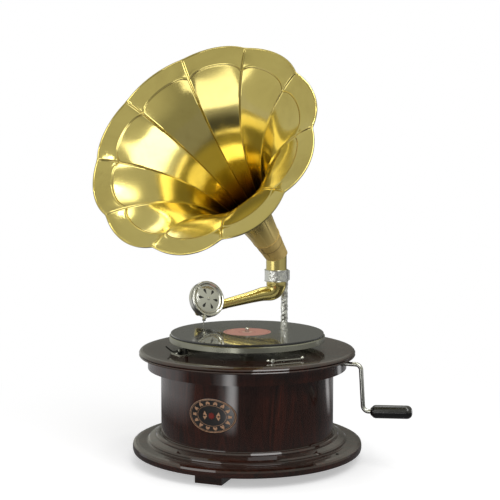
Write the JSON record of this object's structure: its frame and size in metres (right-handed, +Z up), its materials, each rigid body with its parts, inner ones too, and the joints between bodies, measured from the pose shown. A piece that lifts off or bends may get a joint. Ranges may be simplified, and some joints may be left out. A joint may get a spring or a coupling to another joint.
{
  "type": "gramophone",
  "caption": "Wind-up table gramophone: fluted brass horn on an elbow, round wooden case, turntable with record, tone arm with soundbox, and a side crank.",
  "frame": {"origin": "on the table under the turntable spindle", "axes": "+Z up along the spindle, -Y the front with the oval plaque, +X the crank side"},
  "size_m": [0.4907, 0.4103, 0.669],
  "materials": {
    "dark_wood": "glossy dark mahogany lacquer",
    "plain_wood": "unfinished underside wood",
    "dark_plate": "black lacquered oval plate with a brass border",
    "nickel": "polished nickel plate",
    "platter_metal": "nickelled pressed sheet",
    "horn_brass": "polished brass with light tarnish",
    "old_brass": "tarnished brass",
    "motor_iron": "grey painted cast iron",
    "motor_steel": "turned steel",
    "spring_steel": "blued spring steel",
    "motor_brass": "cut brass",
    "felt": "dark felt",
    "shellac": "grooved black shellac",
    "label_paper": "plain salmon paper",
    "black_lacquer": "black gloss lacquer on a turned grip",
    "mica": "grey mica in a rubber seat",
    "dark_steel": "darkened steel"
  },
  "bodies": {
    "case": {"foot_blocks": "dark_wood", "plinth_ring": "dark_wood", "base_board": "plain_wood", "case_drum": "dark_wood", "case_band": "dark_wood", "top_board": "dark_wood", "plaque": "dark_plate", "crank_escutcheon": "nickel", "board_screws": "motor_steel", "support_leg": "nickel", "horn_collar": "nickel", "motor_bedplate": "motor_iron", "motor_lower_plate": "motor_iron", "motor_pillars": "motor_steel", "governor_bearings": "motor_brass", "brake_plate": "nickel"},
    "click": {"click": "motor_steel"},
    "barrel": {"spring_barrel": "motor_brass", "barrel_cover": "motor_brass", "mainspring": "spring_steel"},
    "arbor": {"barrel_arbor": "motor_steel", "winding_wheel": "motor_brass", "ratchet_wheel": "motor_steel"},
    "crank": {"winding_shaft": "motor_steel", "crank_rod": "nickel"},
    "grip": {"crank_handle": "black_lacquer"},
    "second": {"second_arbor": "motor_steel", "second_wheel": "motor_brass"},
    "turntable": {"turntable_spindle": "nickel", "worm_wheel": "motor_brass", "platter": "platter_metal", "platter_mat": "felt", "record": "shellac", "record_label": "label_paper"},
    "governor": {"governor_shaft": "motor_steel", "governor_springs": "spring_steel", "governor_disc": "motor_brass"},
    "tonearm": {"tone_arm": "horn_brass"},
    "soundbox": {"soundbox_elbow": "horn_brass", "soundbox_shell": "nickel", "soundbox_diaphragm": "mica", "soundbox_face": "nickel", "stylus_bar": "nickel", "needle": "motor_steel"},
    "horn": {"horn_petal_1": "horn_brass", "horn_petal_2": "horn_brass", "horn_petal_3": "horn_brass", "horn_petal_4": "horn_brass", "horn_petal_5": "horn_brass", "horn_petal_6": "horn_brass", "horn_petal_7": "horn_brass", "horn_petal_8": "horn_brass", "horn_petal_9": "horn_brass", "horn_petal_10": "horn_brass", "horn_rim": "horn_brass", "horn_neck": "old_brass", "horn_elbow": "horn_brass"},
    "brake": {"brake_lever": "dark_steel"},
    "speed": {"speed_lever": "nickel", "regulator_arm": "motor_steel"}
  },
  "joints": [
    {"name": "turntable_spin", "type": "hinge", "parent": "case", "child": "turntable", "pos_m": [0, 0, 0.2], "axis": [0, 0, 1], "continuous": true},
    {"name": "second_spin", "type": "hinge", "parent": "case", "child": "second", "pos_m": [0.02173, 0.01194, 0.14], "axis": [0, 0, 1], "continuous": true},
    {"name": "barrel_spin", "type": "hinge", "parent": "case", "child": "barrel", "pos_m": [0.062, 0, 0.13], "axis": [0, 0, 1], "continuous": true},
    {"name": "governor_spin", "type": "hinge", "parent": "case", "child": "governor", "pos_m": [0.01286, -0.01532, 0.13], "axis": [-0.766, -0.6428, 0], "continuous": true},
    {"name": "crank_turn", "type": "hinge", "parent": "case", "child": "crank", "pos_m": [0.1, 0, 0.166], "axis": [1, 0, 0], "continuous": true},
    {"name": "arbor_turn", "type": "hinge", "parent": "case", "child": "arbor", "pos_m": [0.062, 0, 0.15], "axis": [0, 0, 1], "continuous": true},
    {"name": "grip_spin", "type": "hinge", "parent": "crank", "child": "grip", "pos_m": [0.23894, 0, 0.09407], "axis": [0.9981, 0, 0.061], "continuous": true},
    {"name": "click_swing", "type": "hinge", "parent": "case", "child": "click", "pos_m": [0.062, -0.024, 0.154], "axis": [0, 0, 1], "range_deg": [0, 15]},
    {"name": "tonearm_swing", "type": "hinge", "parent": "case", "child": "tonearm", "pos_m": [0, 0.145, 0.275], "axis": [0, 0, 1], "range_deg": [-25, 21]},
    {"name": "soundbox_lift", "type": "hinge", "parent": "tonearm", "child": "soundbox", "pos_m": [-0.07548, 0.09598, 0.23807], "axis": [-0.8179, -0.5311, -0.2214], "range_deg": [0, 100]},
    {"name": "horn_swivel", "type": "hinge", "parent": "case", "child": "horn", "pos_m": [0, 0.145, 0.288], "axis": [0, 0, 1], "continuous": true},
    {"name": "brake_swing", "type": "hinge", "parent": "case", "child": "brake", "pos_m": [-0.07149, -0.08828, 0.185], "axis": [0, 0, 1], "range_deg": [-8, 0]},
    {"name": "speed_swing", "type": "hinge", "parent": "case", "child": "speed", "pos_m": [0.08365, -0.11101, 0.185], "axis": [0, 0, 1], "range_deg": [-1, 12]}
  ],
  "couplings": [
    {"joint": "second_spin", "follows": "turntable_spin", "ratio": -0.24},
    {"joint": "barrel_spin", "follows": "turntable_spin", "ratio": 0.04},
    {"joint": "governor_spin", "follows": "turntable_spin", "ratio": 10},
    {"joint": "arbor_turn", "follows": "crank_turn", "ratio": 0.4}
  ]
}
